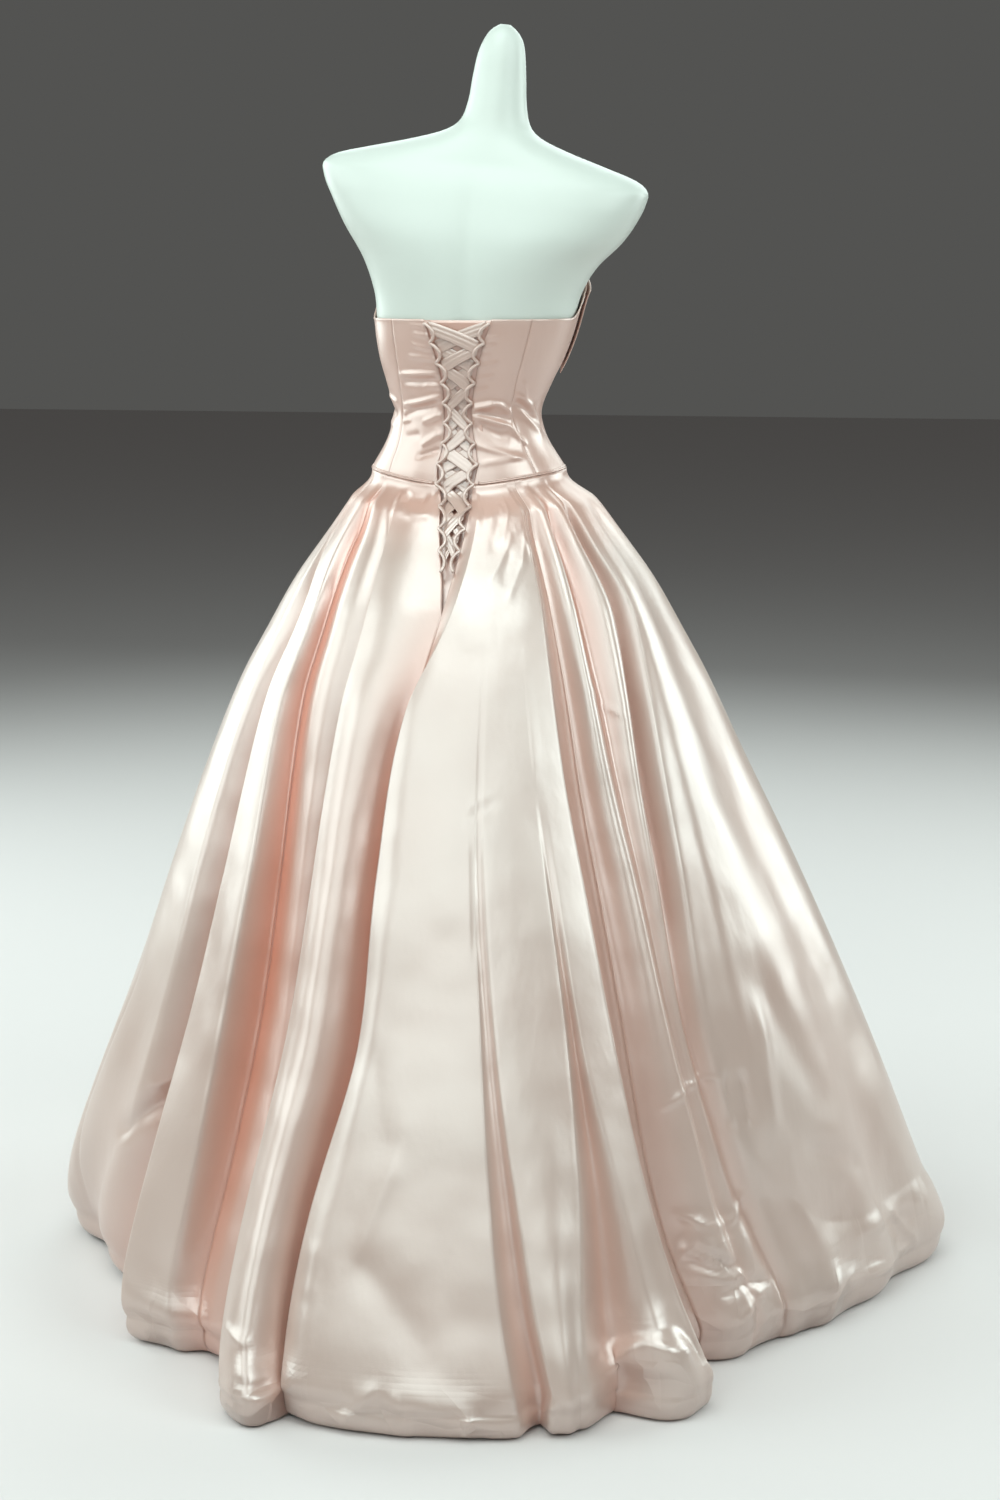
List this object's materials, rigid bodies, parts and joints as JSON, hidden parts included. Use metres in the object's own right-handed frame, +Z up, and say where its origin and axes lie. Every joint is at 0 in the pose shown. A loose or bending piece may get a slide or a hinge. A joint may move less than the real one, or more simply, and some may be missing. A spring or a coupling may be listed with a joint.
{
  "type": "ball gown on dress form",
  "caption": "Strapless satin ball gown with a laced back, a boned fitted bodice and a full pleated floor-length skirt, shown on a limbless dress form with a round base.",
  "frame": {"origin": "centre of the part's box in plan, at the level of the floor under the stand's base", "axes": "+Z up, +Y toward the gown's laced centre back, the front faces -Y, +X toward the wearer's left side"},
  "size_m": [1.2571, 1.3065, 1.7357],
  "materials": {
    "satin_skirt": "glossy blush satin",
    "satin_bodice": "glossy blush satin",
    "satin_modesty": "blush satin",
    "satin_cord": "satin rouleau cord",
    "satin_ribbon": "satin ribbon",
    "form": "gloss white with a cool tint",
    "stand": "satin grey"
  },
  "bodies": {
    "root": {"form_torso": "form", "stand_pole": "stand", "stand_base": "stand", "bodice_back_left": "satin_bodice", "bodice_back_right": "satin_bodice", "bodice_side_left": "satin_bodice", "bodice_side_right": "satin_bodice", "bodice_front": "satin_bodice", "bust_band": "satin_bodice", "waist_welt": "satin_bodice", "skirt_back_left": "satin_skirt", "skirt_back_right": "satin_skirt", "skirt_side_left": "satin_skirt", "skirt_side_right": "satin_skirt", "skirt_front": "satin_skirt", "modesty_panel": "satin_modesty", "lacing_loops_left": "satin_cord", "lacing_loops_right": "satin_cord", "lacing_ribbon_a": "satin_ribbon", "lacing_ribbon_b": "satin_ribbon"}
  },
  "joints": []
}
